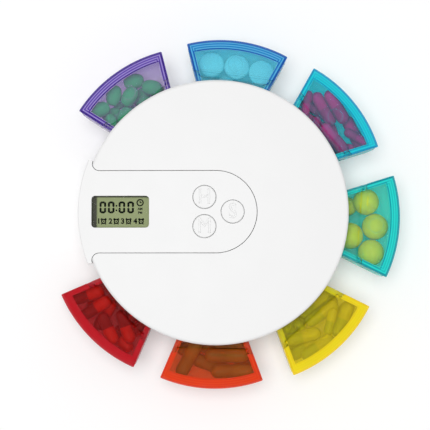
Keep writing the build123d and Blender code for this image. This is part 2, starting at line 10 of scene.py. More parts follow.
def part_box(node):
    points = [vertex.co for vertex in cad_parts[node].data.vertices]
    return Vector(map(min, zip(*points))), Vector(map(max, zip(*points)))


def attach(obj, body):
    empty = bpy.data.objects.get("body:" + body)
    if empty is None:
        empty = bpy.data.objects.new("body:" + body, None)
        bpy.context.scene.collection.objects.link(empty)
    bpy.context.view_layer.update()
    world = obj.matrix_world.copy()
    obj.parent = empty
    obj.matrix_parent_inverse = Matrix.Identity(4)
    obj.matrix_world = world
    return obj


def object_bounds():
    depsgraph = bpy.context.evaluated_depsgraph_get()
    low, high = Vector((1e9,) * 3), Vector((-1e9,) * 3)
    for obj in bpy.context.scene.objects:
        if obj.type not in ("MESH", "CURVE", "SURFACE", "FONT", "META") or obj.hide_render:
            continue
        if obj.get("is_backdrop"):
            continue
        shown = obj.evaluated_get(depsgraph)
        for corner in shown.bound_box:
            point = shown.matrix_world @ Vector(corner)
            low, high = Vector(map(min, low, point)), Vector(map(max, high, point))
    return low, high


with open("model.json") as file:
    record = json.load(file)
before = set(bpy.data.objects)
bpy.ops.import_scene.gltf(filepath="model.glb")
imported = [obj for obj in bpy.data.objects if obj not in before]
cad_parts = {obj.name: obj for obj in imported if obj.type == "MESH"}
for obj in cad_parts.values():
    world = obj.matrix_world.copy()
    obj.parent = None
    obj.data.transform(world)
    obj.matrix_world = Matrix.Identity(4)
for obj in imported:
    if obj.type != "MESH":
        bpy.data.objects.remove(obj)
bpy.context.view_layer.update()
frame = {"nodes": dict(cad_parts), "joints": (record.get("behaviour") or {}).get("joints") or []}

# A round seven-day pill organiser with a timer. Lengths are in mm, and MM turns them into metres.
MM = 0.001

# ---- camera ----
PHOTO_WIDTH = 430             # pixels
CAMERA_TARGET = Vector((-0.4, -1.6, 30.0)) * MM
CAMERA_DISTANCE = 700 * MM
CAMERA_TILT = radians(3.5)
CAMERA_ANGLE = radians(16.24)
CAMERA_CLIP = 10 * MM
LIGHT_BOUNCES = 32            # enough for a pill behind a lid and a drawer

# ---- light and floor, in metres ----
WORLD_STRENGTH = 0.45
KEY_SHARE = 0.68              # light that the key adds to the world's on a level surface
KEY_DISTANCE = 2.4
KEY_SIZE = 1.5
KEY_AZIMUTH = radians(165)
KEY_ELEVATION = radians(85)
FLOOR_SIZE = 3
FLOOR_GLOW = 0.26             # share of the floor's white that shadows leave

# ---- plain materials: arguments of plastic() ----
LCD_TONE = (0.29, 0.34, 0.155)
STEEL = {"grain": 2500.0, "grain_depth": 0.08, "sockets": {"Metallic": 1.0}}
LOOKS = {
    "floor": {"colour": (0.95, 0.95, 0.95), "roughness": 0.8, "grain": 300.0, "grain_depth": 0.01,
              "sockets": {"Specular IOR Level": 0.0}},
    "white_plastic": {"colour": (0.80, 0.80, 0.80), "roughness": 0.36, "grain_depth": 0.04,
                      "sockets": {"Specular IOR Level": 0.2}},
    "screw_steel": {"colour": (0.55, 0.56, 0.58), "roughness": 0.35, **STEEL},
    "cell_steel": {"colour": (0.7, 0.7, 0.68), "roughness": 0.25, **STEEL},
    "grey_rubber": {"colour": (0.12, 0.12, 0.125), "roughness": 0.75, "grain_depth": 0.3},
    "green_board": {"colour": (0.02, 0.16, 0.06), "roughness": 0.35, "mottle": 0.15},
    "black_plastic": {"colour": (0.02, 0.02, 0.02), "roughness": 0.45},
    "clear_window": {"colour": (0.02, 0.022, 0.02), "roughness": 0.06, "grain_depth": 0.01,
                     "sockets": {"Alpha": 0.04, "Specular IOR Level": 0.15}},
    "lcd_glass": {"colour": LCD_TONE, "roughness": 0.3, "grain": 1500.0, "grain_depth": 0.02,
                  "sockets": {"Specular IOR Level": 0.1}},
    "display_ink": {"colour": (0.004, 0.006, 0.003), "roughness": 0.6,
                    "sockets": {"Specular IOR Level": 0.0}},
}
DRESSED = {
    "white_plastic": ("base_tray", "top_cover", "timer_top_housing", "timer_bottom_housing",
                      "battery_housing", "battery_door", "hour_button", "minute_button", "set_button"),
    "screw_steel": ("cover_screws", "timer_screws"),
    "cell_steel": ("button_cells", "battery_contacts"),
    "grey_rubber": ("rubber_ring", "lcd_connector"),
    "green_board": ("circuit_board",),
    "black_plastic": ("tact_switches", "buzzer"),
    "clear_window": ("display_window",),
    "lcd_glass": ("lcd_panel",),
}
PILL_SKIN = {"roughness": 0.5, "mottle": 0.06, "sockets": {"Specular IOR Level": 0.12}}

# ---- noise and bump that all materials share ----
BLOTCH_SCALE = 70.0
BLOTCH_DETAIL = 3.0
GRAIN_DETAIL = 4.0
GRAIN_ROUGHNESS = 0.6
GRAIN_HEIGHT = 0.2 * MM
WAVE_HEIGHT = 1.0 * MM
ROUGHNESS_SPREAD = (0.85, 1.2)

# ---- drawers and lids, as the frame holds them ----
COLOURS = ("purple", "blue", "cyan", "teal", "yellow", "orange", "red")
HALF_BAY = radians(21.75)
DRAWER_WALL = 1.5
DRAWER_SIDE_GAP = 0.6
DRAWER_REAR = 36.0
DRAWER_RADIUS = 65.5
SAUCER_RADIUS = 11.5          # of a drawer's rounded lower front
LID_RADIUS = 66.3
DECK_LEVEL = 21.3             # what lies higher on a drawer is its deck
DECK_BLEND = 0.05
SIDE_FRAME = 2.6
FRONT_FRAME = 4.6

# ---- tinted plastic ----
# Tints of a drawer and its lid: rim, frame, thin walls and floor, clear panel.
TINTS = {
    "purple": ((0.03, 0.006, 0.22), (0.17, 0.085, 0.56), (0.78, 0.70, 0.94), (0.56, 0.44, 0.86)),
    "blue": ((0.004, 0.06, 0.40), (0.012, 0.33, 0.74), (0.30, 0.80, 0.93), (0.11, 0.76, 0.94)),
    "cyan": ((0.001, 0.28, 0.56), (0.008, 0.68, 0.78), (0.01, 0.86, 0.93), (0.10, 0.62, 0.86)),
    "teal": ((0.001, 0.27, 0.36), (0.01, 0.74, 0.69), (0.03, 0.95, 0.86), (0.22, 0.86, 0.66)),
    "yellow": ((0.92, 0.66, 0.004), (0.97, 0.82, 0.006), (0.99, 0.82, 0.012), (0.99, 0.78, 0.01)),
    "orange": ((0.72, 0.035, 0.002), (0.90, 0.045, 0.002), (0.85, 0.10, 0.006), (0.93, 0.12, 0.006)),
    "red": ((0.48, 0.001, 0.01), (0.68, 0.001, 0.013), (0.38, 0.002, 0.003), (0.75, 0.003, 0.004)),
}
FRAME_LEVEL = 0.4             # places of the frame's and the walls' tints between rim and panel
WALL_LEVEL = 0.7
PANEL_BLEND = 0.15
RIM_WIDTH = 0.7
RIM_BLEND = 0.3
LINE_SPACING = 1.1            # of the fine lines along the frame
LINE_DEPTH = 0.16
BORDER_OFFSET = 0.35          # of the dark line round a lid's panel
BORDER_WIDTHS = (0.15, 0.35)
BORDER_DEPTH = 0.32
MARK_PLACE = 55.3             # of a faint ring drawn on a lid's panel
MARK_RADIUS = 3.4
MARK_WIDTHS = (0.1, 0.3)
MARK_DEPTH = 0.09
WALL_FADE = (4.0, 18.0)       # levels between which a drawer's walls deepen
WALL_CLEARNESS = 0.2
PANEL_CLEARNESS = 0.6
WALL_COVER = 0.8
PANEL_COVER = {
    "purple": 0.22, "blue": 0.38, "cyan": 0.17, "teal": 0.20, "yellow": 0.36, "orange": 0.22, "red": 0.22,
}
TINTED_SKIN = {"roughness": 0.16, "grain": 500.0, "grain_depth": 0.02, "wave": 0.03}
TINTED_GLOSS = {"IOR": 1.12, "Specular IOR Level": 0.2, "Coat Weight": 0.02, "Coat Roughness": 0.08}
DRAWER_SCATTER = {"Subsurface Weight": 0.9, "Subsurface Scale": 7 * MM, "Subsurface Radius": (1, 1, 1)}

# ---- display: places are from the middle of the LCD panel ----
# The display window's recess shades the LCD at its left and top. This is painted shadow, set in the LCD's
# colour.
LCD_SHADOW_TONE = (0.03, 0.033, 0.016)
LCD_WINDOW_CORNER = (94.3, 194.6)       # pixel of the window's upper left corner
LCD_SHADOW_WIDTH = 1.3              # width of the painted shadow inside the window's left and top edges
LCD_SHADOW_BLEND = 0.35
INK_THICKNESS = 0.03
DIGIT_HEIGHT = 5.6
DIGIT_WIDTH = 3.1
DIGIT_LEVEL = 2.2
DIGIT_PLACES = (-8.3, -4.4, 0.6, 4.7)
SEGMENT_WIDTH = 0.98
SEGMENT_GAP = 0.12
SEGMENT_TAPER = SEGMENT_WIDTH / 2.5
COLON_PLACE = -1.95
COLON_LEVELS = (0.72, -1.42)
COLON_RADIUS = 0.42
COLON_SIDES = 14
ICON_LEVEL = -4.35
ICON_PLACES = (-7.9, -2.0, 3.75, 9.6)
ICON_FACE = (1.25, 0.66)      # outer and inner radius
ICON_CENTRE = 0.34
ICON_CENTRE_SIDES = 10
ICON_BELL = (1.0, 1.1, 0.9, 0.6, -0.7)  # x, y, length, width, turn
ICON_FOOT = (0.9, -1.15, 0.6, 0.5, -0.9)
NUMBER_PLACES = (-10.2, -4.7, 1.0, 6.9)
NUMBER_SIZE = 3.4
NUMBER_BOLD = 0.13
CLOCK = (9.1, 4.4)
CLOCK_FACE = (1.72, 1.12)
CLOCK_SIDES = 28
CLOCK_HANDS = ((0.0, 0.36, 1.1, pi / 2), (0.3, 0.0, 0.9, 0.0))  # x, y, length, turn
CLOCK_HAND_WIDTH = 0.45
HALF_DAYS = (("AM", 1.45), ("PM", -0.35))
HALF_DAY_PLACE = 9.15
HALF_DAY_SIZE = 1.55
HALF_DAY_BOLD = 0.06

# ---- buttons ----
BUTTON_LETTERS = {"hour_button": "H", "minute_button": "M", "set_button": "S"}
BUTTON_LETTER_SIZE = 9.8
BUTTON_LETTER_OUTLINE = 0.2
BUTTON_LETTER_NARROWING = 0.86

# ---- forms of the pills ----
TURNED_SIDES = 20
CAPSULE_ANGLES = [radians(degrees) for degrees in range(12, 91, 13)]
CAP_STEP = 0.14               # a capsule's cap is this much wider than its body
CAP_EDGE = 0.05
BALL_ANGLES = [radians(degrees) for degrees in range(10, 171, 10)]
BALL_SEAM = 0.12
OVAL_ANGLES = [radians(degrees) for degrees in range(9, 172, 9)]
OVAL_FULLNESS = 0.7
OVAL_FLATNESS = 0.8
CROWN_STEPS = 5               # rings of a tablet's face
CROWN_REACH = 5.6
WAIST_SHARE = 0.45            # a tablet's waist in its height
WAIST_POINTS = ((0.8, 0.97), (0.3, 1))

# ---- how pills fill a drawer ----
PILL_CEILING = 20.6
FILLER_SHARE = 0.72           # size of the pills under and behind the ones that show
FILLER_END_GAP = 5
FILLER_REACH = 16
FILLER_LEVELS = (8, 15)
SETTLING_STEPS = 120
SETTLING_FALL = 0.08
CONTACT_STEPS = 5
WALL_CLEARANCE = 0.1
PILL_CLEARANCE = 0.05
PUSH = 0.45                   # share of a lack of room that a pill makes up in a step
FILLER_PUSH = 0.9             # and a filler's share, beside a pill that shows
OVERLAP_KEPT = 0.8            # a pill that overlaps another by more is left out

# ---- pills of each drawer ----
# Capsules that show: pixel of the centre, heading in degrees from +X, and the layer they lie in.
UPPER, LOWER = 1, 0
CAPSULE_LIFT = 0.2
CAPSULE_FILLERS = 20
CAPSULE_SEED = 40
CAPSULES = {
    "cyan": {
        "length": 18.0,
        "radius": 3.1,
        "slot": "magenta_capsule",
        "looks": (("magenta_capsule", (0.50, 0.008, 0.17)), ("magenta_capsule_cap", (0.34, 0.006, 0.12))),
        "shown": (
            ((327.8, 110), -60, UPPER), ((312, 108), -35, UPPER), ((345.5, 140), -50, UPPER),
            ((355, 129), -63, LOWER), ((339, 108), -60, LOWER), ((318, 92), -30, LOWER),
            ((333, 137), -70, LOWER),
        ),
    },
    "yellow": {
        "length": 18.0,
        "radius": 3.1,
        "slot": "green_capsule",
        "looks": (("green_capsule", (0.27, 0.32, 0.012)), ("green_capsule_cap", (0.40, 0.38, 0.015))),
        "shown": (
            ((333, 303), 40, UPPER), ((318, 322), 35, UPPER), ((341, 317), 65, UPPER),
            ((301, 337), 15, UPPER), ((324, 338), 35, UPPER), ((303, 352), 30, LOWER),
            ((345, 312), 50, LOWER), ((322, 310), 30, LOWER),
        ),
    },
    "orange": {
        "length": 21.0,
        "radius": 3.4,
        "slot": "brown_capsule",
        "looks": (("brown_capsule", (0.13, 0.075, 0.005)), ("brown_capsule_cap", (0.16, 0.09, 0.006))),
        "shown": (
            ((190, 357), 62, UPPER), ((235, 371), 0, UPPER), ((229, 354.5), 0, UPPER),
            ((212, 366), -20, LOWER), ((205, 349), 10, LOWER), ((250, 352), -50, LOWER),
        ),
    },
    "red": {
        "length": 16.5,
        "radius": 3.0,
        "slot": "red_capsule",
        "looks": (("dark_capsule", (0.11, 0.004, 0.002)), ("red_capsule", (0.44, 0.012, 0.003))),
        "shown": (
            ((83.8, 291.9), 20, UPPER), ((91.3, 304), 32, UPPER), ((107.5, 326.9), -65, UPPER),
            ((124.4, 328.1), -69, UPPER), ((97, 322), 60, LOWER), ((78, 300), 70, LOWER),
            ((115, 345), -40, LOWER),
        ),
    },
}

# Round pieces that show: pixel of the centre and level.
BALL_RADIUS = 6.2
BALL_COLOUR = (0.68, 0.62, 0.004)
BALL_FILLERS = 24
BALL_SEED = 7
BALLS = (((366.5, 203), 14.6), ((373.2, 224.3), 14.9), ((370.2, 250), 14.9), ((351, 236), 14.4))
TABLET_HEIGHT = 4.6
TABLET_RADIUS = 6.0
TABLET_COLOUR = (0.42, 0.80, 0.86)
TABLET_FILLERS = 4
TABLET_SEED = 3
TABLETS = (((211.8, 64.5), 14.4), ((238, 67.5), 14.4), ((264.5, 75.2), 14.4))

# Ovals that show: pixel of the centre, heading in degrees from +X, and level.
OVAL_LENGTH = 9.8
OVAL_RADIUS = 3.7
OVAL_COLOUR = (0.012, 0.40, 0.11)
OVAL_FILLERS = 14
OVAL_SEED = 11
OVALS = (
    ((98.1, 111.3), 20, 15.5), ((109.4, 101.3), 80, 15.5), ((126.3, 95.5), 60, 15.7),
    ((131.9, 83.1), 10, 14.0), ((151.3, 88.1), -10, 15.0), ((125, 111.3), 60, 14.5),
    ((113, 116), 30, 9.5), ((142.5, 97.5), 70, 9.5),
)

scene = bpy.context.scene


# ---------------------------------------------------------------- materials
def node(tree, kind, **inputs):
    """A shader node with the values of some of its inputs."""
    made = tree.nodes.new(kind)
    for name, value in inputs.items():
        made.inputs[name.replace("_", " ")].default_value = value
    return made


def shader_of(material):
    return material.node_tree.nodes["Principled BSDF"]


class Field:
    """A number that varies over a material: maths nodes, written as arithmetic."""

    def __init__(self, socket):
        self.socket = socket
        self.tree = socket.id_data

    def feed(self, socket):
        self.tree.links.new(self.socket, socket)

    def math(self, operation, *values):
        made = self.tree.nodes.new("ShaderNodeMath")
        made.operation = operation
        for socket, value in zip(made.inputs, values):
            if isinstance(value, Field):
                value.feed(socket)
            else:
                socket.default_value = value
        return Field(made.outputs["Value"])

    def __add__(self, other):
        return self.math("ADD", self, other)

    def __sub__(self, other):
        return self.math("SUBTRACT", self, other)

    def __rsub__(self, other):
        return self.math("SUBTRACT", other, self)

    def __mul__(self, other):
        return self.math("MULTIPLY", self, other)

    def __abs__(self):
        return self.math("ABSOLUTE", self)

    def sine(self):
        return self.math("SINE", self)

    def least(self, other):
        return self.math("MINIMUM", self, other)

    def greatest(self, other):
        return self.math("MAXIMUM", self, other)

    def distance(self, other):
        """How far a point with these two coordinates lies from their origin."""
        return self.math("SQRT", self * self + other * other)

    def ranged(self, low, high, to_low, to_high):
        """The value carried from one range to another, and held at its ends."""
        made = node(self.tree, "ShaderNodeMapRange",
                    From_Min=low, From_Max=high, To_Min=to_low, To_Max=to_high)
        self.feed(made.inputs["Value"])
        return Field(made.outputs["Result"])

    def coloured(self, stops, socket):
        """Feeds a colour to a socket. It runs through the stops' colours as the value grows."""
        ramp = self.tree.nodes.new("ShaderNodeValToRGB")
        elements = ramp.color_ramp.elements
        elements[0].position, elements[1].position = stops[0][0], stops[-1][0]
        for place, _ in stops[1:-1]:
            elements.new(place)
        for element, (_, colour) in zip(elements, stops):
            element.color = (*colour, 1)
        self.feed(ramp.inputs["Fac"])
        self.tree.links.new(ramp.outputs["Color"], socket)


def plastic(name, colour, roughness, grain=900.0, grain_depth=0.03, mottle=0.0, wave=0.0, sockets=None):
    """A moulded material: colour, fine grain, and roughness and colour that vary a little."""
    material = bpy.data.materials.new(name)
    material.use_nodes = True
    tree = material.node_tree
    shader = shader_of(material)
    shader.inputs["Base Color"].default_value = (*colour, 1)
    for socket, value in (sockets or {}).items():
        shader.inputs[socket].default_value = value
    place = node(tree, "ShaderNodeTexCoord")
    blotches = node(tree, "ShaderNodeTexNoise", Scale=BLOTCH_SCALE, Detail=BLOTCH_DETAIL)
    fine = node(tree, "ShaderNodeTexNoise", Scale=grain, Detail=GRAIN_DETAIL, Roughness=GRAIN_ROUGHNESS)
    for texture in (blotches, fine):
        tree.links.new(place.outputs["Object"], texture.inputs["Vector"])
    blotch = Field(blotches.outputs["Fac"])
    smoothest, roughest = (roughness * share for share in ROUGHNESS_SPREAD)
    blotch.ranged(0.0, 1.0, smoothest, roughest).feed(shader.inputs["Roughness"])
    if mottle:
        tint = node(tree, "ShaderNodeVectorMath")
        tint.operation = "SCALE"
        tint.inputs[0].default_value = colour
        blotch.ranged(0.0, 1.0, 1 - mottle, 1 + mottle).feed(tint.inputs["Scale"])
        tree.links.new(tint.outputs["Vector"], shader.inputs["Base Color"])
    bump = node(tree, "ShaderNodeBump", Strength=grain_depth, Distance=GRAIN_HEIGHT)
    tree.links.new(fine.outputs["Fac"], bump.inputs["Height"])
    if wave:
        swell = node(tree, "ShaderNodeBump", Strength=wave, Distance=WAVE_HEIGHT)
        blotch.feed(swell.inputs["Height"])
        tree.links.new(swell.outputs["Normal"], bump.inputs["Normal"])
    tree.links.new(bump.outputs["Normal"], shader.inputs["Normal"])
    return material


def drawer_line(colour):
    """A drawer's unit direction and how far it is pulled out at rest."""
    for joint in frame["joints"]:
        if joint["name"] == f"{colour}_drawer_slide":
            return Vector(joint["axis"]), -joint["range_m"][0] / MM
    raise ValueError(colour)


def drawer_axes(tree, colour):
    """Where a point of a drawer lies once the drawer is pushed in: outwards, sideways and up, in mm."""
    way, pulled = drawer_line(colour)
    place = node(tree, "ShaderNodeTexCoord")
    local = node(tree, "ShaderNodeMapping", Location=(-pulled, 0, 0), Rotation=(0, 0, -atan2(way.y, way.x)),
                 Scale=(1 / MM, 1 / MM, 1 / MM))
    axes = node(tree, "ShaderNodeSeparateXYZ")
    tree.links.new(place.outputs["Object"], local.inputs["Vector"])
    tree.links.new(local.outputs["Vector"], axes.inputs["Vector"])
    return [Field(axes.outputs[axis]) for axis in "XYZ"]


def tinted_plastic(colour, part):
    """Translucent plastic of a drawer or its lid: deep at the rim and frame, clear over the panel."""
    sockets = TINTED_GLOSS | (DRAWER_SCATTER if part == "drawer" else {})
    material = plastic(f"{colour}_{part}_plastic", TINTS[colour][0], sockets=sockets, **TINTED_SKIN)
    shader = shader_of(material)
    along, sideways, level = drawer_axes(material.node_tree, colour)
    across = abs(sideways)
    from_front = LID_RADIUS - along.distance(across)
    from_side = along * sin(HALF_BAY) - (across * cos(HALF_BAY) + DRAWER_SIDE_GAP)
    from_edge = from_front.least(from_side)
    from_frame = (from_front - FRONT_FRAME).least(from_side - SIDE_FRAME)
    panel = from_frame.ranged(-PANEL_BLEND, PANEL_BLEND, 0.0, 1.0)
    lines = (from_edge * (2 * pi / LINE_SPACING)).sine() * LINE_DEPTH
    framing = from_edge.ranged(RIM_WIDTH, RIM_WIDTH + RIM_BLEND, 0.0, FRAME_LEVEL) + lines
    if part == "lid":
        from_mark = abs((along - MARK_PLACE).distance(across) - MARK_RADIUS)
        panel = panel - from_mark.ranged(*MARK_WIDTHS, MARK_DEPTH, 0.0)
        from_border = abs(from_frame + BORDER_OFFSET)
        deep = framing - from_border.ranged(*BORDER_WIDTHS, BORDER_DEPTH, 0.0)
    else:
        deck = level.ranged(DECK_LEVEL - DECK_BLEND, DECK_LEVEL, 0.0, 1.0)
        panel = panel * deck
        wall = level.ranged(*WALL_FADE, WALL_LEVEL, FRAME_LEVEL)
        deep = wall + deck * (framing - wall)
    shade = panel * (1.0 - deep) + deep
    places = (0.0, FRAME_LEVEL, WALL_LEVEL, 1.0)
    shade.coloured(tuple(zip(places, TINTS[colour])), shader.inputs["Base Color"])
    shade.ranged(WALL_LEVEL, 1.0, WALL_CLEARNESS, PANEL_CLEARNESS).feed(shader.inputs["Transmission Weight"])
    shade.ranged(WALL_LEVEL, 1.0, WALL_COVER, PANEL_COVER[colour]).feed(shader.inputs["Alpha"])
    return material


def add_margin(material, left, top):
    """Paints the shadow of the window's recess on the LCD, inside the left and top edges of the window."""
    tree = material.node_tree
    place = node(tree, "ShaderNodeTexCoord")
    axes = node(tree, "ShaderNodeSeparateXYZ")
    tree.links.new(place.outputs["Object"], axes.inputs["Vector"])
    from_left = Field(axes.outputs["X"]) - left * MM
    from_top = top * MM - Field(axes.outputs["Y"])
    shadow_edge = ((LCD_SHADOW_WIDTH - LCD_SHADOW_BLEND) * MM, (LCD_SHADOW_WIDTH + LCD_SHADOW_BLEND) * MM)
    lit = from_left.ranged(*shadow_edge, 0.0, 1.0) * from_top.ranged(*shadow_edge, 0.0, 1.0)
    lit.coloured(((0.0, LCD_SHADOW_TONE), (1.0, LCD_TONE)), shader_of(material).inputs["Base Color"])


def fill_shadows(material):
    """Partly fills the floor's shadows for the camera, and for what gloss and glass show."""
    tree = material.node_tree
    rays = node(tree, "ShaderNodeLightPath")
    glow = node(tree, "ShaderNodeEmission")
    mixed = node(tree, "ShaderNodeMixShader")
    seen = Field(rays.outputs["Is Camera Ray"])
    for ray in ("Is Glossy Ray", "Is Transmission Ray"):
        seen = seen.greatest(Field(rays.outputs[ray]))
    seen.ranged(0.0, 1.0, 0.0, FLOOR_GLOW).feed(mixed.inputs["Fac"])
    tree.links.new(shader_of(material).outputs["BSDF"], mixed.inputs[1])
    tree.links.new(glow.outputs["Emission"], mixed.inputs[2])
    tree.links.new(mixed.outputs["Shader"], tree.nodes["Material Output"].inputs["Surface"])


# ---------------------------------------------------------------- pieces
def dress(names, material):
    """Gives CAD nodes a material."""
    for name in names:
        mesh = frame["nodes"][name].data
        mesh.materials.clear()
        mesh.materials.append(material)


def linked(name, data):
    """A new object in the scene."""
    made = bpy.data.objects.new(name, data)
    scene.collection.objects.link(made)
    return made


def mesh_of(name, grid, materials):
    """A mesh from a bmesh, which is freed."""
    mesh = bpy.data.meshes.new(name)
    grid.to_mesh(mesh)
    grid.free()
    for material in materials:
        mesh.materials.append(material)
    return mesh


def add_mesh(name, grid, body, materials):
    """A mesh object from a bmesh, riding on a body."""
    piece = linked(name, mesh_of(name, grid, materials))
    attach(piece, body)


# ---------------------------------------------------------------- camera, light and floor
camera_data = bpy.data.cameras.new("camera")
camera_data.sensor_fit = "HORIZONTAL"
camera_data.angle = CAMERA_ANGLE
camera_data.clip_start = CAMERA_CLIP
camera = linked("camera", camera_data)
camera.location = CAMERA_TARGET + CAMERA_DISTANCE * Vector((0, -sin(CAMERA_TILT), cos(CAMERA_TILT)))
camera.rotation_euler = (CAMERA_TILT, 0, 0)
scene.camera = camera
scene.view_settings.view_transform = "Standard"
scene.cycles.max_bounces = LIGHT_BOUNCES
scene.cycles.transmission_bounces = LIGHT_BOUNCES

world = bpy.data.worlds.new("studio")
world.use_nodes = True
world.node_tree.nodes["Background"].inputs["Color"].default_value = (1, 1, 1, 1)
world.node_tree.nodes["Background"].inputs["Strength"].default_value = WORLD_STRENGTH
scene.world = world

key_way = Vector((
    cos(KEY_AZIMUTH) * cos(KEY_ELEVATION),
    sin(KEY_AZIMUTH) * cos(KEY_ELEVATION),
    sin(KEY_ELEVATION),
))
key_data = bpy.data.lights.new("key", "AREA")
key_data.shape = "DISK"
key_data.size = KEY_SIZE
key_data.energy = KEY_SHARE * (pi * KEY_DISTANCE)**2 / sin(KEY_ELEVATION)
key = linked("key", key_data)
key.location = key_way * KEY_DISTANCE
key.rotation_euler = key_way.to_track_quat("Z", "Y").to_euler()

plain = {name: plastic(name, **look) for name, look in LOOKS.items()}
fill_shadows(plain["floor"])
floor_grid = bmesh.new()
bmesh.ops.create_grid(floor_grid, x_segments=1, y_segments=1, size=FLOOR_SIZE)
floor = linked("floor", mesh_of("floor", floor_grid, [plain["floor"]]))
floor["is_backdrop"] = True


def seen_at(pixel, height):
    """The point at a height that lies behind a pixel of the photograph."""
    half = PHOTO_WIDTH / 2
    across = (pixel[0] - half) / half
    up = (half - pixel[1]) / half
    reach = sin(CAMERA_ANGLE / 2) / cos(CAMERA_ANGLE / 2)
    ray = Vector((across * reach, up * reach, -1))
    ray.rotate(camera.rotation_euler)
    eye = camera.location / MM
    return eye + ray * ((height - eye.z) / ray.z)


# ---------------------------------------------------------------- the CAD nodes
display_low, display_high = (Vector(corner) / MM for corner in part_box("lcd_panel"))
display_centre = (display_low + display_high) / 2
window_corner = seen_at(LCD_WINDOW_CORNER, display_high.z)

# Painted shadow of the window's recess along the LCD's left and top edges
add_margin(plain["lcd_glass"], window_corner.x, window_corner.y)
for look, names in DRESSED.items():
    dress(names, plain[look])
for colour in COLOURS:
    for part in ("drawer", "lid"):
        dress((f"{colour}_{part}",), tinted_plastic(colour, part))


# ---------------------------------------------------------------- display
def band(grid, low, high):
    """The faces between two rings of as many vertices."""
    order = (*range(1, len(low)), 0)
    return [grid.faces.new((low[i - 1], low[i], high[i], high[i - 1])) for i in order]


def plate(grid, outline, hole=()):
    """A thin flat plate on the LCD: an outline, counter-clockwise, and a hole of as many points."""
    (low, low_hole), (high, high_hole) = (
        [[grid.verts.new(Vector((display_centre.x + x, display_centre.y + y, level)) * MM) for x, y in ring]
         for ring in (outline, hole)]
        for level in (display_high.z, display_high.z + INK_THICKNESS)
    )
    if hole:
        rings = (low, high, high_hole, low_hole, low)
        for first, second in zip(rings, rings[1:]):
            band(grid, first, second)
    else:
        grid.faces.new(low[::-1])
        grid.faces.new(high)
        band(grid, low, high)


def ring_points(x, y, radius, sides=20):
    turns = [2 * pi * i / sides for i in range(sides)]
    return [(x + radius * cos(turn), y + radius * sin(turn)) for turn in turns]


def bar(grid, x, y, length, width, turn=0.0, taper=0.0):
    """A bar, with pointed ends where there is a taper, as on an LCD segment."""
    half, side = length / 2, width / 2
    shape = ((-half + taper, -side), (half - taper, -side), (half, 0),
             (half - taper, side), (-half + taper, side), (-half, 0))
    plate(grid, [(x + along * cos(turn) - across * sin(turn), y + along * sin(turn) + across * cos(turn))
                 for along, across in shape])


def zero(grid, x, y):
    """The digit 0: six segments of seven."""
    reach = (DIGIT_WIDTH - SEGMENT_WIDTH) / 2
    half = DIGIT_HEIGHT / 2
    upright = half - SEGMENT_GAP - SEGMENT_WIDTH / 4
    for side in (-1, 1):
        for level in (-1, 1):
            middle = level * (half / 2 - SEGMENT_WIDTH / 8)
            bar(grid, x + side * reach, y + middle, upright, SEGMENT_WIDTH, pi / 2, SEGMENT_TAPER)
    for level in (-1, 1):
        bar(grid, x, y + level * (half - SEGMENT_WIDTH / 2), 2 * reach, SEGMENT_WIDTH, 0, SEGMENT_TAPER)


def alarm_icon(grid, x, y):
    """A small alarm clock: face, centre, two bells and two feet."""
    plate(grid, *(ring_points(x, y, radius) for radius in ICON_FACE))
    plate(grid, ring_points(x, y, ICON_CENTRE, ICON_CENTRE_SIDES))
    for side in (-1, 1):
        for off_x, off_y, length, width, turn in (ICON_BELL, ICON_FOOT):
            bar(grid, x + side * off_x, y + off_y, length, width, side * turn)


def clock(grid, x, y):
    """The clock mark: a ring and two hands."""
    plate(grid, *(ring_points(x, y, radius, CLOCK_SIDES) for radius in CLOCK_FACE))
    for off_x, off_y, length, turn in CLOCK_HANDS:
        bar(grid, x + off_x, y + off_y, length, CLOCK_HAND_WIDTH, turn)


def letters(name, words, x, y, level, size, body, material, depth=0.0, bold=0.0, outline=0.0,
            narrow=1.0):
    """Raised letters: filled ones of a depth, or an outline of round section."""
    curve = bpy.data.curves.new(name, "FONT")
    curve.body = words
    curve.size = size * MM
    curve.align_x = "CENTER"
    curve.align_y = "CENTER"
    if outline:
        curve.fill_mode = "NONE"
        curve.bevel_depth = outline * MM
        curve.bevel_resolution = 2
    else:
        curve.extrude = depth * MM / 2
        curve.offset = bold * MM
    curve.materials.append(material)
    piece = linked(name, curve)
    piece.location = Vector((x, y, level)) * MM
    piece.scale.x = narrow
    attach(piece, body)


ink = plain["display_ink"]
marks = bmesh.new()
for place in DIGIT_PLACES:
    zero(marks, place, DIGIT_LEVEL)
for level in COLON_LEVELS:
    plate(marks, ring_points(COLON_PLACE, DIGIT_LEVEL + level, COLON_RADIUS, COLON_SIDES))
for place in ICON_PLACES:
    alarm_icon(marks, place, ICON_LEVEL)
clock(marks, *CLOCK)
add_mesh("display_segments", marks, "timer", [ink])

ink_level = display_high.z + INK_THICKNESS / 2
for number, place in enumerate(NUMBER_PLACES, 1):
    letters(f"display_number_{number}", str(number), display_centre.x + place, ICON_LEVEL, ink_level,
            NUMBER_SIZE, "timer", ink, depth=INK_THICKNESS, bold=NUMBER_BOLD)
for words, level in HALF_DAYS:
    letters(f"display_{words.lower()}", words, display_centre.x + HALF_DAY_PLACE, level, ink_level,
            HALF_DAY_SIZE, "timer", ink, depth=INK_THICKNESS, bold=HALF_DAY_BOLD)
for button, letter in BUTTON_LETTERS.items():
    low, high = (Vector(corner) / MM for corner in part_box(button))
    letters(f"{button}_letter", letter, (low.x + high.x) / 2, (low.y + high.y) / 2, high.z,
            BUTTON_LETTER_SIZE, button, plain["white_plastic"],
            outline=BUTTON_LETTER_OUTLINE, narrow=BUTTON_LETTER_NARROWING)


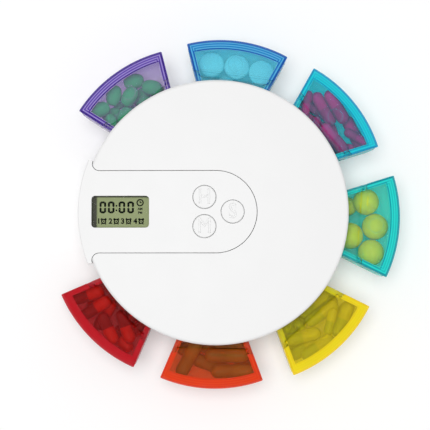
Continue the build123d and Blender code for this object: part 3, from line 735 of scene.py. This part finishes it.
# ---------------------------------------------------------------- forms of the pills
# A profile is a row of (x, radius) points, which stamp() turns round X.
def capsule_profile(length, radius):
    """A two-piece hard capsule: a body, and a cap a little wider over half of it."""
    body = radius - CAP_STEP
    half = length / 2
    left = [(-half + body - body * cos(a), body * sin(a)) for a in CAPSULE_ANGLES]
    right = [(half - radius + radius * cos(a), radius * sin(a)) for a in reversed(CAPSULE_ANGLES)]
    return left + [(-CAP_EDGE, body), (CAP_EDGE, radius)] + right


def ball_profile(radius):
    """A round soft capsule with its seam."""
    return [(-radius * cos(a), radius * sin(a) + (BALL_SEAM if abs(a - pi / 2) < 0.01 else 0))
            for a in BALL_ANGLES]


def tablet_profile(height, radius):
    """A pressed tablet: crowned faces and a rounded waist."""
    half = height / 2
    waist = half * WAIST_SHARE
    left = [(-half + (half - waist) * (i / CROWN_STEPS) ** 2, radius * i / CROWN_REACH)
            for i in range(1, CROWN_STEPS + 1)]
    left += [(-waist * along, radius * out) for along, out in WAIST_POINTS]
    return left + [(-x, out) for x, out in reversed(left)]


def oval_profile(length, radius):
    """An oval tablet, fuller than an ellipse."""
    return [(-length / 2 * cos(a), radius * sin(a) ** OVAL_FULLNESS) for a in OVAL_ANGLES]


def stamp(grid, profile, matrix, split=False):
    """Adds one turned piece to a bmesh, in place. With split, its two halves have two materials."""
    turns = [2 * pi * i / TURNED_SIDES for i in range(TURNED_SIDES)]
    rows = [
        [grid.verts.new(matrix @ Vector((x, radius * cos(turn), radius * sin(turn))) * MM) for turn in turns]
        for x, radius in profile
    ]
    for (x, _), low, high in zip(profile, rows, rows[1:]):
        for face in band(grid, low, high):
            face.smooth = True
            face.material_index = int(split and x > -2 * CAP_EDGE)
    first = grid.faces.new(list(reversed(rows[0])))
    last = grid.faces.new(rows[-1])
    last.material_index = int(split)
    first.smooth = last.smooth = True


# ---------------------------------------------------------------- how the pills lie
drawer_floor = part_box("teal_drawer")[0][2] / MM + DRAWER_WALL


def walls(colour, point):
    """The walls inside a drawer: how far off each lies from a point, and the way inwards."""
    way, pulled = drawer_line(colour)
    side = Vector((-way.y, way.x, 0))
    along = point.dot(way) - pulled
    across = point.dot(side)
    out = hypot(along, across)
    round_centre = DRAWER_RADIUS - SAUCER_RADIUS
    round_level = drawer_floor - DRAWER_WALL + SAUCER_RADIUS
    if point.z < round_level and out > round_centre:
        front = Vector((out - round_centre, point.z - round_level))
        off_front = SAUCER_RADIUS - DRAWER_WALL - front.length
        front.normalize()
    else:
        front = Vector((1, 0))
        off_front = DRAWER_RADIUS - DRAWER_WALL - out
    sign = 1 if across > 0 else -1
    return (
        (along * sin(HALF_BAY) - abs(across) * cos(HALF_BAY) - DRAWER_SIDE_GAP - DRAWER_WALL,
         way * sin(HALF_BAY) - side * sign * cos(HALF_BAY)),
        (along - DRAWER_REAR - DRAWER_WALL, way),
        (off_front, -(way * along + side * across) / out * front.x - Vector((0, 0, front.y))),
        (point.z - drawer_floor, Vector((0, 0, 1))),
        (PILL_CEILING - point.z, Vector((0, 0, -1))),
    )


def nearest(point, start, stop):
    """The point of a segment that is nearest to another point."""
    along = stop - start
    share = along.dot(point - start) / max(along.length_squared, 1e-9)
    return start + along * min(max(share, 0.0), 1.0)


def between(one, other):
    """The shortest way from one pill's core to another's."""
    p = (one[0] + one[1]) / 2
    for _ in range(CONTACT_STEPS):
        q = nearest(p, *other[:2])
        p = nearest(q, *one[:2])
    return p - q


def ends(place, heading, length):
    """The two ends of a level pill's core, which is its middle line less its round ends."""
    half = Vector((cos(heading), sin(heading), 0)) * (length / 2)
    return place - half, place + half


def filled(colour, shown, extra, radius, core, seed):
    """Pills clear of the walls and each other: the shown ones, then smaller ones under and behind them."""
    chance = random.Random(seed)
    way, pulled = drawer_line(colour)
    across = Vector((-way.y, way.x, 0))
    pills = [(*pair, radius) for pair in shown]
    for _ in range(extra):
        place = way * (chance.uniform(DRAWER_REAR + FILLER_END_GAP, DRAWER_RADIUS - FILLER_END_GAP) + pulled)
        place += across * chance.uniform(-FILLER_REACH, FILLER_REACH)
        place += Vector((0, 0, chance.uniform(*FILLER_LEVELS)))
        pills.append((*ends(place, chance.uniform(0, pi), core * FILLER_SHARE), radius * FILLER_SHARE))
    for _ in range(SETTLING_STEPS):
        for i, pill in enumerate(pills):
            thick = pill[2]
            shift = Vector((0, 0, -SETTLING_FALL if i >= len(shown) else 0))
            for j, other in enumerate(pills):
                if j == i or (i < len(shown) <= j):
                    continue
                away = between(pill, other)
                lack = thick + other[2] + PILL_CLEARANCE - away.length
                if lack > 0:
                    shift += away.normalized() * lack * (FILLER_PUSH if j < len(shown) <= i else PUSH)
            for end in pill[:2]:
                for off, inwards in walls(colour, end + shift):
                    if off < thick + WALL_CLEARANCE:
                        shift += inwards * (thick + WALL_CLEARANCE - off)
            pills[i] = (pill[0] + shift, pill[1] + shift, thick)
    kept = []
    for pill in pills:
        clear = min(off for end in pill[:2] for off, _ in walls(colour, end)) > pill[2] - WALL_CLEARANCE
        if clear and all(between(pill, other).length > pill[2] + other[2] - OVERLAP_KEPT for other in kept):
            kept.append(pill)
    return kept


def along_core(start, stop, scale):
    """The place of a pill that is modelled along X."""
    turn = (stop - start).to_track_quat("X", "Z").to_matrix().to_4x4()
    return Matrix.Translation((start + stop) / 2) @ turn @ Matrix.Scale(scale, 4)


def add_pills(colour, forms, looks):
    """A drawer's pills as one mesh. Forms are profiles with matrices, looks one or two names with colours."""
    grid = bmesh.new()
    for profile, matrix in forms:
        stamp(grid, profile, matrix, split=len(looks) > 1)
    skins = [plastic(*look, **PILL_SKIN) for look in looks]
    add_mesh(f"{colour}_pills", grid, f"{colour}_drawer", skins)


# ---------------------------------------------------------------- pills
for index, (colour, kind) in enumerate(CAPSULES.items()):
    length, radius = kind["length"], kind["radius"]
    core = length - 2 * radius
    levels = (drawer_floor + radius + CAPSULE_LIFT, drawer_floor + 3 * radius + CAPSULE_LIFT)
    shown = [ends(seen_at(pixel, levels[layer]), radians(heading), core)
             for pixel, heading, layer in kind["shown"]]
    placed = filled(colour, shown, CAPSULE_FILLERS, radius, core, CAPSULE_SEED + index)
    profile = capsule_profile(length, radius)
    forms = [(profile, along_core(start, stop, thick / radius)) for start, stop, thick in placed]
    add_pills(colour, forms, kind["looks"])

shown = [(seen_at(pixel, level),) * 2 for pixel, level in BALLS]
placed = filled("teal", shown, BALL_FILLERS, BALL_RADIUS, 0.0, BALL_SEED)
forms = [(ball_profile(thick), Matrix.Translation(place)) for place, _, thick in placed]
add_pills("teal", forms, [("lime_ball", BALL_COLOUR)])

upright = Matrix.Rotation(pi / 2, 4, "Y")
shown = [(seen_at(pixel, level),) * 2 for pixel, level in TABLETS]
placed = filled("blue", shown, TABLET_FILLERS, TABLET_RADIUS, 0.0, TABLET_SEED)
forms = [
    (tablet_profile(TABLET_HEIGHT, thick), Matrix.Translation(place) @ upright) for place, _, thick in placed
]
add_pills("blue", forms, [("white_tablet", TABLET_COLOUR)])

core = OVAL_LENGTH - 2 * OVAL_RADIUS
flat = Matrix.Diagonal((1, 1, OVAL_FLATNESS, 1))
profile = oval_profile(OVAL_LENGTH, OVAL_RADIUS)
shown = [ends(seen_at(pixel, level), radians(heading), core) for pixel, heading, level in OVALS]
placed = filled("purple", shown, OVAL_FILLERS, OVAL_RADIUS, core, OVAL_SEED)
forms = [(profile, along_core(start, stop, thick / OVAL_RADIUS) @ flat) for start, stop, thick in placed]
add_pills("purple", forms, [("green_tablet", OVAL_COLOUR)])

# ---------------------------------------------------------------- bounds of what is drawn
low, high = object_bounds()
